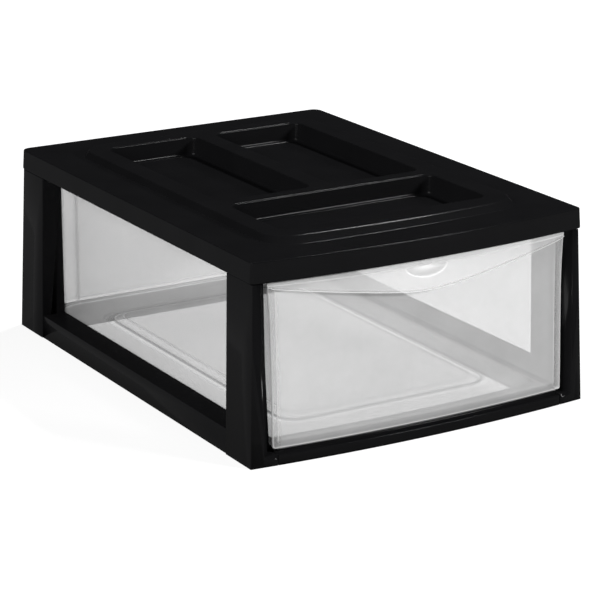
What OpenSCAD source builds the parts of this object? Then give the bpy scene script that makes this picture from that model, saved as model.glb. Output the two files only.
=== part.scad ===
// Stackable drawer box: an open frame of posts, rails and bars with a clip-on lid,
// and one translucent drawer that slides out at the front.
// Millimetres. X is the width, Y the depth (the front looks along -Y), Z is up.
// The origin is on the floor, in the middle of the footprint.

/* [Overall size] */
// Width of the frame at the floor
base_w = 295; // [250:1:360]
// Depth of the frame at the floor, with the bulge of the front
base_d = 402; // [340:1:490]
// Height of the flat border of the lid above the floor
deck_h = 153.5; // [130:0.5:200]
// How far the middle of the front bulges beyond its corners
front_bow = 8.2; // [4:0.2:12]
// Inward lean of every outer face of the frame, in degrees
lean = 2; // [1:0.1:3]

/* [Lid] */
// Height of the skirt of the lid
skirt_h = 16; // [12:0.5:24]
// Wall thickness of the lid
lid_wall = 2.4; // [1.6:0.1:3]
// How far the lower rim of the skirt stands out from the posts
lid_proud = 2.1; // [1:0.1:3]
// Height of the thicker rim along the lower edge of the skirt
skirt_rim_h = 9; // [3:0.5:11]
// How far that rim stands out from the skirt
skirt_rim_t = 1; // [0.5:0.1:1.5]
// Bulge of the front edge of the lid
lid_bow = 9.6; // [4:0.2:14]
// Radius of the vertical corners of the lid
lid_corner_r = 3; // [2:0.5:9]

/* [Stacking plateau and pen trays] */
// Height of the raised plateau above the border of the lid
plateau_h = 5; // [3:0.5:6]
// Width of the flat border beside the plateau
border_side = 31.8; // [26:0.1:40]
// Width of the flat border in front of the plateau, at the middle
border_front = 29.8; // [24:0.1:40]
// Width of the flat border behind the plateau
border_rear = 35.3; // [26:0.1:45]
// Corner radius of the plateau
plateau_r = 27; // [12:1:32]
// How far the sides of the plateau slope inwards from foot to top
plateau_slope = 3.5; // [1:0.5:6]
// How far its front slopes inwards
plateau_front_slope = 7; // [3:0.5:10]
// Margin between the top edge of the plateau and a tray, at the sides
tray_margin_side = 17.5; // [10:0.5:24]
// Margin between the top edge of the plateau and a tray, at the back
tray_margin_rear = 15; // [8:0.5:20]
// Margin between the top edge of the plateau and the front tray
tray_margin_front = 21; // [16:0.5:30]
// Width of the bridge between the two rear trays
tray_bridge = 17; // [10:0.5:24]
// Width of the bridge between the rear trays and the front tray
tray_cross_bridge = 13.5; // [8:0.5:20]
// Length of the front tray from front to back
front_tray_d = 80; // [50:1:100]
// Depth of the trays below the plateau
tray_depth = 16; // [10:0.5:17]
// Corner radius of the trays
tray_r = 9; // [5:0.5:14]
// Inward slope of the walls of the trays over their depth
tray_draft = 2; // [1:0.5:4]

/* [Posts] */
// Width of a post at the floor
post_w = 21.5; // [18:0.5:26]
// Depth of a front post at the floor, measured at its outer corner
front_post_d = 37; // [30:0.5:46]
// Depth of a rear post at the floor
rear_post_d = 43; // [34:0.5:50]
// Wall thickness of the posts
post_wall = 2.4; // [1.8:0.1:3]
// Dark gap between the top of a post and the rim of the lid
shadow_gap = 1; // [0.5:0.1:2]
// Width of the splayed jamb beside the drawer front
jamb_w = 11; // [7:0.5:13]
// Depth of the splayed jamb
jamb_d = 5.8; // [5.6:0.2:8]
// Depth at the floor of the recess inside the jamb, which shows the side of the drawer
recess_d = 12.3; // [9:0.1:15]
// How much further than the frame that recess leans back, in degrees
recess_lean = 2.9; // [0:0.1:4]

/* [Rails and bars] */
// Height of the side rails
rail_h = 19; // [15:0.5:26]
// Width of the ledge that carries the drawer, inside each side rail
ledge_w = 11.5; // [7:0.5:16]
// Height of the ledges and bars that carry the drawer
ledge_h = 10; // [9.5:0.5:14]
// How far the rails stand back from the faces of the posts
rail_setback = 0.8; // [0.4:0.1:1.6]
// Depth of the front sill, from front to back
sill_d = 31; // [24:0.5:40]
// Height of the front edge of the sill
sill_edge_h = 8; // [6:0.5:9]
// Depth of the rear crossbar, from front to back
crossbar_d = 33; // [24:0.5:42]
// Height of the lip on the crossbar that stops the closing drawer
stop_lip_h = 2.5; // [1.5:0.5:4]
// Thickness of that lip
stop_lip_t = 2.2; // [1.6:0.1:3]
// Wall thickness of the rails and bars
bar_wall = 2.4; // [1.8:0.1:3]
// Largest spacing of the ribs under the rails and bars
rib_pitch = 55; // [30:5:90]
// Thickness of the ribs
rib_t = 1.6; // [1.2:0.1:2.4]

/* [Joints of the frame] */
// Length of the tongues of the rails and bars, inside the posts
tongue_l = 12; // [8:0.5:16]
// Thickness of the tongues
tongue_t = 3; // [2:0.25:4]
// Height of the barb that clicks behind the wall of a post
barb = 1.2; // [0.6:0.1:1.6]
// Thickness of the walls of the sockets under the lid
socket_wall = 1.8; // [1.2:0.1:2.4]
// Height of the lower edge of the sockets above the shoulders of the posts
socket_rise = 3.5; // [1:0.5:6]
// Width of the click barb on each spigot
click_w = 10; // [5:0.5:14]
// Height of that barb
click_h = 4; // [3:0.5:5]
// How far that barb stands out
click_t = 0.8; // [0.4:0.1:1]
// Gap at each side of a tongue or spigot in its socket
fit_gap = 0.2; // [0.15:0.05:0.4]

/* [Drawer] */
// Wall thickness of the drawer
drawer_wall = 2; // [1.6:0.1:2.6]
// Thickness of the floor of the drawer
drawer_floor = 2.2; // [1.6:0.1:3]
// Gap between the drawer and each side of the frame
drawer_gap = 1; // [0.6:0.1:2]
// Gap between the floor of the drawer and the ledges
floor_gap = 0.3; // [0.3:0.1:0.8]
// How far the drawer front stands back from the front of the frame
drawer_setback = 3.2; // [2.6:0.2:4.4]
// Gap between the back of the drawer and the lip of the crossbar
back_gap = 0.5; // [0.3:0.1:1]
// How far the sides of the drawer front lap over each post
flange_over = 1; // [0.5:0.1:2]
// How far the rim of the drawer front laps over each post
rim_over = 5; // [2:0.5:5]
// Gap under the rim of the lid, above the rim of the drawer
rim_gap = 1.5; // [1:0.5:4]
// Corner radius at the back of the drawer
drawer_rear_r = 30; // [15:1:45]
// Height of the raised panel in the floor of the drawer
panel_h = 2.4; // [1:0.2:4]
// Margin beside that panel
panel_side = 36; // [24:1:50]
// Margin in front of that panel and behind it
panel_end = 48; // [32:1:62]
// Corner radius of that panel
panel_r = 14; // [8:1:22]
// Width of the sloped edge of that panel
panel_slope = 6; // [3:0.5:9]

/* [Pull lip] */
// Distance from each end of the pull lip to the post beside it
lip_end = 2; // [1:0.5:20]
// Height of the pull lip at the middle
lip_drop = 23; // [16:0.5:26]
// Angle of the pull lip to the vertical, in degrees
lip_angle = 14.5; // [12:0.5:16]
// How far the rim of the drawer stands out above the pull lip
lip_root = 1.6; // [1:0.1:2]
// Thickness of the pull lip
lip_t = 1.8; // [1.4:0.1:2.2]
// Half-width of the rounded middle of its V-shaped lower edge
lip_round = 12; // [6:1:30]

/* [Drawer stops under the lid] */
// Distance of each stop from the middle
stop_x = 60; // [30:1:70]
// Distance of the stops behind the front edge of the front tray
stop_back = 35.5; // [15:0.5:45]
// Width of each stop
stop_w = 20; // [10:1:30]
// Thickness of each stop
stop_t = 3; // [2:0.5:5]
// How far the stops reach below the rim of the drawer
stop_catch = 2; // [1:0.5:4]

/* [Hidden] */

black = "#1b1b1c";
milky = "#dcdddd";
far = 900;              // longer than any side of the box, for cutting blocks
over = 1;               // how far a cut runs past a face
seam = 0.15;            // gap where a rail or bar meets a post
sill_gap = 0.3;         // gap between the bowed sill and the ledges
fine = 720;             // roundness of the wide curves of the front
medium = 64;            // roundness of corners
rough = 32;             // roundness of corners inside a hull
lip_steps = 14;         // straight stretches in each half of the lower edge of the lip

slant = tan(lean);
front_y = -base_d / 2;                      // apex of the front, at the floor
rear_y = base_d / 2;
skirt_z = deck_h - skirt_h;                 // lower edge of the lid
shoulder_z = skirt_z - shadow_gap;          // top face of the posts
deck_under = deck_h - lid_wall;
front_r = arc_radius(base_w, front_bow);
lid_w = base_w - 2 * slant * skirt_z + 2 * (lid_proud - skirt_rim_t);
lid_front = front_y + slant * skirt_z - lid_proud - (lid_bow - front_bow) + skirt_rim_t;
lid_rear = rear_y - slant * skirt_z + lid_proud - skirt_rim_t;
corner_y = front_y + front_bow;             // front corners of the frame, at the floor
front_post_rear = corner_y + front_post_d;  // rear face of a front post, at the floor
rear_post_front = rear_y - rear_post_d;     // front face of a rear post
half_open = base_w / 2 - post_w;
jamb_x = half_open + jamb_w;                // front edge of the splayed jamb
recess_x = half_open + rim_over + over / 2; // outer side of the recess
sill_rear = front_y + sill_d;               // rear edge of the sill, at the middle
crossbar_front = rear_y - crossbar_d;
ledge_x = half_open - ledge_w;              // inner edge of the side ledges
rail_top_x = base_w / 2 - rail_setback - slant * rail_h;

spigot_in = half_open + post_wall;          // inner face of a spigot
spigot_out = lid_w / 2 - lid_wall - socket_wall;
spigot_front = recess_y(shoulder_z) + post_wall;
spigot_front_end = front_post_rear + slant * shoulder_z - post_wall;
spigot_rear = rear_post_front + post_wall;
spigot_rear_end = lid_rear - lid_wall - socket_wall;

tongue_x = (half_open + rail_top_x) / 2;    // middle of the tongues of the rails
tongue_low = bar_wall + over;               // lower edge of the tongues
rail_tongue_h = rail_h - 2 * bar_wall - 2 * over;
bar_tongue_h = ledge_h - bar_wall - 2 * over;
sill_tongue_y = recess_y(sill_edge_h) + 2 * post_wall;
crossbar_tongue_y = rear_y - crossbar_d / 2;

drawer_w = 2 * (half_open - drawer_gap);
drawer_bottom = ledge_h + floor_gap;
drawer_top = skirt_z - rim_gap;
drawer_front = front_y + drawer_setback;    // apex of the drawer front, carried down to the floor
lip_inner_y = rear_y - slant * (ledge_h + stop_lip_h) - rail_setback - stop_lip_t;
drawer_rear = lip_inner_y - back_gap;
flange_bottom = drawer_bottom + drawer_floor / 2;
lip_apex = drawer_front + slant * drawer_top - lip_root;

tray_w = (lid_w - 2 * border_side - 2 * plateau_slope - 2 * tray_margin_side - tray_bridge) / 2;
plateau_front = lid_front + border_front;
plateau_rear = lid_rear - border_rear;
plateau_w = lid_w - 2 * border_side;
front_tray_y = plateau_front + plateau_front_slope + tray_margin_front;
rear_tray_y = front_tray_y + front_tray_d + tray_cross_bridge;
rear_tray_d = plateau_rear - plateau_slope - tray_margin_rear - rear_tray_y;
plateau_z = deck_h + plateau_h;
tray_z = plateau_z - tray_depth;
under_edge = plateau_slope + lid_wall;       // edge of the recess under the plateau
stop_y = front_tray_y + stop_back;           // the drawer travels until it is back_gap from here
// Each tray as [low x, low y, width, depth]
trays = [[-tray_bridge / 2 - tray_w, rear_tray_y, tray_w, rear_tray_d],
         [tray_bridge / 2, rear_tray_y, tray_w, rear_tray_d],
         [-tray_bridge / 2 - tray_w, front_tray_y, 2 * tray_w + tray_bridge, front_tray_d]];

// Radius of an arc over a chord w that rises by bow
function arc_radius(w, bow) = (w * w / 4 + bow * bow) / (2 * bow);
// How far an arc of radius r falls back at a distance x from its apex
function bow_at(x, r) = r - sqrt(r * r - x * x);
// Back of the recess in a front post, at the height z
function recess_y(z) =
    front_y + bow_at(half_open, front_r) + recess_d + z * tan(lean + recess_lean);
// Drop of the lower edge of the pull lip at a distance x from the middle: a rounded V
function lip_depth(x, half) =
    lip_drop * (1 - (norm([x, lip_round]) - lip_round) / (norm([half, lip_round]) - lip_round));

// ---- shared shapes -------------------------------------------------------------

// Plain block between two corners
module block(low, high) {
    translate(low) cube(high - low);
}

// Everything behind a bowed front whose apex is at y on the floor and leans back by angle
module behind_bow(y, r, angle) {
    translate([0, y, 0]) rotate([-angle, 0, 0])
        translate([0, r, -deck_h]) cylinder(r = r, h = 3 * deck_h, $fn = fine);
}

// The tapered outside of the frame from the height low up, with each face moved inwards
module envelope(side_in = 0, front_in = 0, rear_in = 0, low = 0) {
    side = base_w / 2 - side_in;
    rear = rear_y - rear_in;
    intersection() {
        rotate([90, 0, 0]) linear_extrude(far, center = true)
            polygon([[slant * low - side, low], [side - slant * low, low],
                     [side - slant * deck_h, deck_h], [slant * deck_h - side, deck_h]]);
        rotate([90, 0, 90]) linear_extrude(far, center = true)
            polygon([[-far, low], [rear - slant * low, low], [rear - slant * deck_h, deck_h],
                     [-far, deck_h]]);
        behind_bow(front_y + front_in, front_r, lean);
    }
}

// Everything in front of the leaning rear face of the front posts, moved back by gap
module before_front_post_rear(gap = 0) {
    y = front_post_rear + gap;
    rotate([90, 0, 90]) linear_extrude(far, center = true)
        polygon([[-far, -over], [y - slant * over, -over], [y + slant * deck_h, deck_h],
                 [-far, deck_h]]);
}

// Flat outline with a bowed front edge and rounded corners
module bowed_outline(w, front, rear, bow, r) {
    big = arc_radius(w, bow);
    centre = front + big;
    corner = centre - sqrt(pow(big - r, 2) - pow(w / 2 - r, 2));
    touch = (w / 2 - r) * big / (big - r);
    intersection() {
        translate([0, centre]) circle(r = big, $fn = fine);
        translate([-touch, front - over]) square([2 * touch, rear - r - front + over]);
    }
    translate([-w / 2, corner]) square([w, rear - r - corner]);
    translate([-w / 2 + r, rear - 2 * r]) square([w - 2 * r, 2 * r]);
    for (side = [-1, 1]) {
        translate([side * (w / 2 - r), corner]) circle(r = r, $fn = medium);
        translate([side * (w / 2 - r), rear - r]) circle(r = r, $fn = medium);
    }
}

// Rectangle with round corners from its low corner
module round_rect(x, y, w, d, r, facets = rough) {
    for (dx = [r, w - r], dy = [r, d - r])
        translate([x + dx, y + dy]) circle(r = r, $fn = facets);
}

// ---- lid -----------------------------------------------------------------------

// The tapered plateau: a lower outline that slopes in to an upper one
module plateau_block() {
    hull() {
        translate([0, 0, deck_h - over]) linear_extrude(over)
            plateau_outline(0, 0);
        translate([0, 0, plateau_z - over / 10]) linear_extrude(over / 10)
            plateau_outline(plateau_slope, plateau_front_slope);
    }
}

// Outline of the plateau, with its edges moved inwards
module plateau_outline(inset, front_inset) {
    w = plateau_w - 2 * inset;
    r = plateau_r - inset;
    big = arc_radius(lid_w, lid_bow);
    front = plateau_front + front_inset;
    corner = front + big - sqrt(pow(big - r, 2) - pow(w / 2 - r, 2));
    for (side = [-1, 1]) {
        translate([side * (w / 2 - r), corner]) circle(r = r, $fn = medium);
        translate([side * (w / 2 - r), plateau_rear - inset - r]) circle(r = r, $fn = medium);
    }
    intersection() {
        translate([0, front + big]) circle(r = big, $fn = fine);
        translate([r - w / 2, front - over]) square([w - 2 * r, 2 * r]);
    }
}

// One tray up to the height top, grown on every side and downwards by grow
module tray_cup(tray, grow, top) {
    low = tray_z - grow;
    hull() {
        translate([0, 0, top]) linear_extrude(over / 10)
            round_rect(tray[0] - grow, tray[1] - grow, tray[2] + 2 * grow, tray[3] + 2 * grow,
                       tray_r + grow);
        translate([0, 0, low]) linear_extrude(over / 10)
            round_rect(tray[0] - grow + tray_draft, tray[1] - grow + tray_draft,
                       tray[2] + 2 * (grow - tray_draft), tray[3] + 2 * (grow - tray_draft),
                       tray_r + grow - tray_draft / 2);
    }
}

// Spigot of a post, as low and high corners, for the right-hand side
function spigot_low(front) = [spigot_in, front ? spigot_front : spigot_rear, shoulder_z];
function spigot_high(front) = [spigot_out, front ? spigot_front_end : spigot_rear_end, deck_under];

// Sleeve under the deck that takes the spigot of one post
module lid_socket(front) {
    low = spigot_low(front);
    high = spigot_high(front);
    gap = [fit_gap, fit_gap, 0];
    shell = gap + [socket_wall, socket_wall, 0];
    difference() {
        block(low - shell + [0, 0, socket_rise], high + shell);
        block(low - gap, high + gap);
        translate([0, 0, fit_gap]) click_barb(front, 2 * socket_wall, fit_gap);
    }
}

// Barb on the inner side of a spigot; the window for it is one longer and grown by gap
module click_barb(front, length, gap = 0) {
    middle = (spigot_low(front) + spigot_high(front)) / 2;
    base = (shoulder_z + socket_rise + deck_under - click_h) / 2;
    y = middle[1] - click_w / 2 - gap;
    translate([0, y + click_w + 2 * gap, 0]) rotate([90, 0, 0]) linear_extrude(click_w + 2 * gap)
        polygon([[spigot_in + over, base - 2 * gap], [spigot_in - length, base - 2 * gap],
                 [spigot_in - max(0, length - click_t), base + click_h],
                 [spigot_in + over, base + click_h]]);
}

module lid() {
    color(black) difference() {
        union() {
            difference() {
                union() {
                    translate([0, 0, skirt_z]) linear_extrude(skirt_h)
                        bowed_outline(lid_w, lid_front, lid_rear, lid_bow, lid_corner_r);
                    translate([0, 0, skirt_z]) linear_extrude(skirt_rim_h)
                        bowed_outline(lid_w + 2 * skirt_rim_t, lid_front - skirt_rim_t,
                                      lid_rear + skirt_rim_t, lid_bow,
                                      lid_corner_r + skirt_rim_t);
                    plateau_block();
                }
                translate([0, 0, skirt_z - over]) linear_extrude(skirt_h - lid_wall + over)
                    bowed_outline(lid_w - 2 * lid_wall, lid_front + lid_wall,
                                  lid_rear - lid_wall, lid_bow, lid_corner_r - lid_wall / 2);
                translate([0, 0, deck_under - over])
                    linear_extrude(plateau_z - lid_wall - deck_under + over)
                        bowed_outline(plateau_w - 2 * under_edge,
                                      plateau_front + under_edge + plateau_front_slope,
                                      plateau_rear - under_edge, lid_bow,
                                      plateau_r - under_edge);
            }
            for (tray = trays) tray_cup(tray, lid_wall, plateau_z - lid_wall / 2);
            for (side = [0, 1]) mirror([side, 0, 0]) {
                lid_socket(true);
                lid_socket(false);
                drawer_stop();
            }
        }
        for (tray = trays) tray_cup(tray, 0, plateau_z);
    }
}

// Rib under the front tray that meets the back of the drawer when it is fully out
module drawer_stop() {
    block([stop_x - stop_w / 2, stop_y - stop_t, drawer_top - stop_catch],
          [stop_x + stop_w / 2, stop_y, tray_z - lid_wall / 2]);
}

// ---- posts ---------------------------------------------------------------------

// Right-hand front post
module front_post() {
    color(black) difference() {
        union() {
            intersection() {
                envelope();
                before_front_post_rear();
                block([half_open, -far, 0], [far, far, shoulder_z]);
            }
            block(spigot_low(true) - [0, 0, post_wall], spigot_high(true));
            click_barb(true, click_t);
        }
        // hollow behind the recess
        intersection() {
            difference() {
                envelope(post_wall, 0, 0, -over);
                before_recess_back(post_wall);
            }
            before_front_post_rear(-post_wall);
            block([half_open + post_wall, -far, -over], [far, far, shoulder_z - post_wall]);
        }
        // hollow behind the splayed jamb
        intersection() {
            envelope(post_wall, jamb_d + post_wall, 0, -over);
            before_front_post_rear(-post_wall);
            block([recess_x + post_wall, -far, -over], [far, far, shoulder_z - post_wall]);
        }
        // hollow behind the outer strip of the front
        intersection() {
            envelope(post_wall, post_wall, 0, -over);
            before_front_post_rear(-post_wall);
            block([jamb_x + post_wall / 2, -far, -over], [far, far, shoulder_z - post_wall]);
        }
        spigot_hollow(true);
        jamb_cut();
        rail_slot(front_post_rear);
        bar_slot(sill_tongue_y);
    }
}

// Everything in front of the leaning back of the recess, moved back by gap
module before_recess_back(gap = 0) {
    rotate([90, 0, 90]) linear_extrude(far, center = true)
        polygon([[-far, -over], [recess_y(-over) + gap, -over],
                 [recess_y(deck_h) + gap, deck_h], [-far, deck_h]]);
}

// Hollow of a spigot
module spigot_hollow(front) {
    wall = [post_wall, post_wall, 0];
    block(spigot_low(front) + wall - [0, 0, 2 * post_wall],
          spigot_high(front) - wall - [0, 0, post_wall]);
}

// Splayed jamb and deeper recess beside the drawer front, above the edge of the sill
module jamb_cut() {
    intersection() {
        rotate([-lean, 0, 0]) translate([0, front_y, -over]) linear_extrude(far)
            polygon([[half_open - over, -far], [jamb_x, -far], [jamb_x, bow_at(jamb_x, front_r)],
                     [recess_x, bow_at(recess_x, front_r) + jamb_d],
                     [half_open - over, bow_at(half_open - over, front_r) + jamb_d]]);
        block([0, -far, sill_edge_h], [far, far, far]);
    }
    intersection() {
        before_recess_back();
        block([half_open - over, -far, sill_edge_h], [recess_x, far, shoulder_z + over]);
    }
}

// Right-hand rear post
module rear_post() {
    color(black) difference() {
        union() {
            intersection() {
                envelope();
                block([half_open, rear_post_front, 0], [far, far, shoulder_z]);
            }
            block(spigot_low(false) - [0, 0, post_wall], spigot_high(false));
            click_barb(false, click_t);
        }
        intersection() {
            envelope(post_wall, 0, post_wall, -over);
            block([half_open + post_wall, rear_post_front + post_wall, -over],
                  [far, far, shoulder_z - post_wall]);
        }
        spigot_hollow(false);
        rail_slot(rear_post_front);
        bar_slot(crossbar_tongue_y);
    }
}

// Slot for the tongue of a rail, in the wall of a post at y
module rail_slot(y) {
    block([tongue_x - tongue_t / 2 - fit_gap, y - 2 * post_wall, tongue_low - fit_gap],
          [tongue_x + tongue_t / 2 + barb + fit_gap, y + 2 * post_wall,
           tongue_low + rail_tongue_h + fit_gap]);
}

// Slot for the tongue of the sill or the crossbar, in the inner wall of a post
module bar_slot(y) {
    block([half_open - over, y - tongue_t / 2 - fit_gap, tongue_low - fit_gap],
          [half_open + 2 * post_wall, y + tongue_t / 2 + barb + fit_gap,
           tongue_low + bar_tongue_h + fit_gap]);
}

// ---- rails and bars --------------------------------------------------------------

// Positions of evenly spaced ribs between two ends
function rib_places(low, high) =
    let (count = ceil((high - low) / rib_pitch))
    [for (i = [1 : count - 1]) low + (high - low) * i / count];

// Right-hand rail: a raised edge between the posts and a ledge under the drawer
module rail() {
    front_end = front_post_rear + slant * rail_h + seam;
    rear_end = rear_post_front - seam;
    color(black) {
        difference() {
            union() {
                intersection() {
                    envelope(rail_setback);
                    difference() {
                        block([half_open, -far, 0], [far, rear_end, rail_h]);
                        before_front_post_rear(seam);
                    }
                }
                intersection() {
                    behind_bow(sill_rear + sill_gap, front_r, 0);
                    block([ledge_x, front_y, 0],
                          [half_open - seam, crossbar_front - seam, ledge_h]);
                }
                block([half_open - over, front_end, 0], [half_open + over, rear_end, ledge_h]);
            }
            difference() {
                union() {
                    intersection() {
                        envelope(rail_setback + bar_wall, 0, 0, -over);
                        block([half_open + bar_wall, front_end + bar_wall, -over],
                              [far, rear_end - bar_wall, rail_h - bar_wall]);
                    }
                    intersection() {
                        behind_bow(sill_rear + sill_gap + bar_wall, front_r, 0);
                        block([ledge_x + bar_wall, front_y, -over],
                              [half_open - bar_wall, crossbar_front - bar_wall,
                               ledge_h - bar_wall]);
                    }
                }
                for (y = rib_places(front_end, rear_end))
                    block([ledge_x, y - rib_t / 2, 0], [far, y + rib_t / 2, rail_h]);
            }
        }
        rail_tongue(front_end, -1);
        rail_tongue(rear_end, 1);
    }
}

// Tongue at one end of a rail, with the barb that clicks behind the wall of the post
module rail_tongue(y, way) {
    wall_end = y + way * (post_wall + 2 * seam + slant * rail_h * (1 - way) / 2);
    low = [tongue_x - tongue_t / 2, min(y - way * bar_wall, y + way * tongue_l), tongue_low];
    high = [tongue_x + tongue_t / 2, max(y - way * bar_wall, y + way * tongue_l),
            tongue_low + rail_tongue_h];
    block(low, high);
    translate([0, 0, tongue_low]) linear_extrude(rail_tongue_h)
        polygon([[tongue_x, wall_end + way * fit_gap],
                 [tongue_x + tongue_t / 2 + barb, wall_end + way * fit_gap],
                 [tongue_x + tongue_t / 2, y + way * tongue_l],
                 [tongue_x, y + way * tongue_l]]);
}

// Tongue at the right-hand end of the sill or the crossbar
module bar_tongue(y) {
    x = half_open;
    block([x - 2 * bar_wall, y - tongue_t / 2, tongue_low],
          [x + tongue_l, y + tongue_t / 2, tongue_low + bar_tongue_h]);
    translate([0, 0, tongue_low]) linear_extrude(bar_tongue_h)
        polygon([[x + post_wall + fit_gap, y], [x + tongue_l, y],
                 [x + tongue_l, y + tongue_t / 2],
                 [x + post_wall + fit_gap, y + tongue_t / 2 + barb]]);
}

module front_sill() {
    end_x = half_open - seam;
    color(black) {
        difference() {
            intersection() {
                envelope();
                block([-end_x, -far, 0], [end_x, 0, ledge_h]);
            }
            behind_bow(sill_rear, front_r, 0);
            // step down to the lower front edge, in line with the jambs of the posts
            difference() {
                block([-far, -far, sill_edge_h], [far, 0, far]);
                behind_bow(front_y + jamb_d, front_r, lean);
            }
            // hollow underneath, with ribs
            difference() {
                intersection() {
                    behind_bow(front_y + bar_wall, front_r, lean);
                    block([-end_x + bar_wall, -far, -over],
                          [end_x - bar_wall, 0, sill_edge_h - bar_wall]);
                }
                behind_bow(sill_rear - bar_wall, front_r, 0);
                for (x = rib_places(-end_x, end_x))
                    block([x - rib_t / 2, -far, 0], [x + rib_t / 2, far, ledge_h]);
            }
        }
        for (side = [0, 1]) mirror([side, 0, 0]) bar_tongue(sill_tongue_y);
    }
}

module rear_crossbar() {
    end_x = half_open - seam;
    color(black) {
        difference() {
            intersection() {
                envelope(0, 0, rail_setback);
                union() {
                    block([-end_x, crossbar_front, 0], [end_x, far, ledge_h]);
                    block([-end_x, lip_inner_y, 0], [end_x, far, ledge_h + stop_lip_h]);
                }
            }
            difference() {
                block([-end_x + bar_wall, crossbar_front + bar_wall, -over],
                      [end_x - bar_wall, rear_y - rail_setback - 2 * bar_wall,
                       ledge_h - bar_wall]);
                for (x = rib_places(-end_x, end_x))
                    block([x - rib_t / 2, -far, 0], [x + rib_t / 2, far, ledge_h]);
            }
        }
        for (side = [0, 1]) mirror([side, 0, 0]) bar_tongue(crossbar_tongue_y);
    }
}

// ---- drawer ----------------------------------------------------------------------

// Plan of the drawer with rounded rear corners, moved inwards; its front is cut elsewhere
module drawer_plan(inset) {
    w = drawer_w - 2 * inset;
    r = drawer_rear_r - inset;
    rear = drawer_rear - inset;
    translate([-w / 2, -far]) square([w, far + rear - r]);
    translate([-w / 2 + r, rear - 2 * r]) square([w - 2 * r, 2 * r]);
    for (side = [-1, 1]) translate([side * (w / 2 - r), rear - r]) circle(r = r, $fn = medium);
}

// Solid of the drawer from the height low up to high, with its sides moved inwards
module drawer_block(inset, low, high) {
    intersection() {
        translate([0, 0, low]) linear_extrude(high - low) drawer_plan(inset);
        behind_bow(drawer_front + inset, front_r, lean);
    }
}

// Raised panel of the floor, grown by grow, from low up to high
module floor_panel(grow, low, high) {
    x = drawer_w / 2 - panel_side + grow;
    y_low = drawer_front + front_bow + panel_end - grow;
    y_high = drawer_rear - panel_end + grow;
    hull() {
        translate([0, 0, low]) linear_extrude(over / 10)
            round_rect(-x, y_low, 2 * x, y_high - y_low, panel_r + grow);
        translate([0, 0, high - over / 10]) linear_extrude(over / 10)
            round_rect(-x + panel_slope, y_low + panel_slope, 2 * (x - panel_slope),
                       y_high - y_low - 2 * panel_slope, panel_r + grow - panel_slope / 2);
    }
}

// The pull lip: a thin bowed plate that slopes out and down from the rim of the drawer
module pull_lip() {
    half = half_open - lip_end;
    steps = [for (i = [-lip_steps : lip_steps]) half * i / lip_steps];
    intersection() {
        difference() {
            translate([0, 0, drawer_top]) behind_bow(lip_apex, front_r, lip_angle);
            translate([0, 0, drawer_top]) behind_bow(lip_apex + lip_t, front_r, lip_angle);
        }
        rotate([90, 0, 0]) linear_extrude(far)
            polygon(concat([[half, drawer_top], [-half, drawer_top]],
                           [for (x = steps) [x, drawer_top - over - lip_depth(x, half)]]));
    }
}

module drawer() {
    color(milky) union() {
        difference() {
            drawer_block(0, drawer_bottom, drawer_top);
            difference() {
                drawer_block(drawer_wall, drawer_bottom + drawer_floor, drawer_top + over);
                floor_panel(0, drawer_bottom, drawer_bottom + drawer_floor + panel_h);
            }
            floor_panel(-drawer_wall, drawer_bottom - over, drawer_bottom + panel_h);
        }
        // flange of the front, which laps over the jambs of the posts
        intersection() {
            difference() {
                behind_bow(drawer_front, front_r, lean);
                behind_bow(drawer_front + drawer_wall, front_r, lean);
            }
            block([-half_open - flange_over, -far, flange_bottom],
                  [half_open + flange_over, 0, drawer_top]);
        }
        // rim along the top of the front
        intersection() {
            behind_bow(drawer_front - lip_root, front_r, lean);
            block([-half_open - rim_over, -far, drawer_top - drawer_wall],
                  [half_open + rim_over, 0, drawer_top]);
            difference() {
                block([-far, -far, 0], [far, 0, deck_h]);
                behind_bow(drawer_front + drawer_wall, front_r, lean);
            }
        }
        pull_lip();
    }
}

// ---- nodes -----------------------------------------------------------------------

lid();
mirror([1, 0, 0]) front_post();  // front_left_post
front_post();  // front_right_post
mirror([1, 0, 0]) rear_post();  // rear_left_post
rear_post();  // rear_right_post
mirror([1, 0, 0]) rail();  // left_rail
rail();  // right_rail
front_sill();
rear_crossbar();
drawer();
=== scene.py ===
"""Stackable drawer box: the visual model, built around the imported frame.

The posts, rails and bars keep the frame's own shapes and get moulded edges. The lid and the
drawer are modelled here from rings of points. X is the width, the front looks along -Y, and
Z is up. Lengths are in millimetres until a point is written to a mesh.
"""
import logging
import math
from dataclasses import dataclass, field
from enum import Enum
from typing import Any, Iterable, NamedTuple, Sequence

import bmesh
import bpy
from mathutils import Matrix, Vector
from mathutils.geometry import tessellate_polygon


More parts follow.
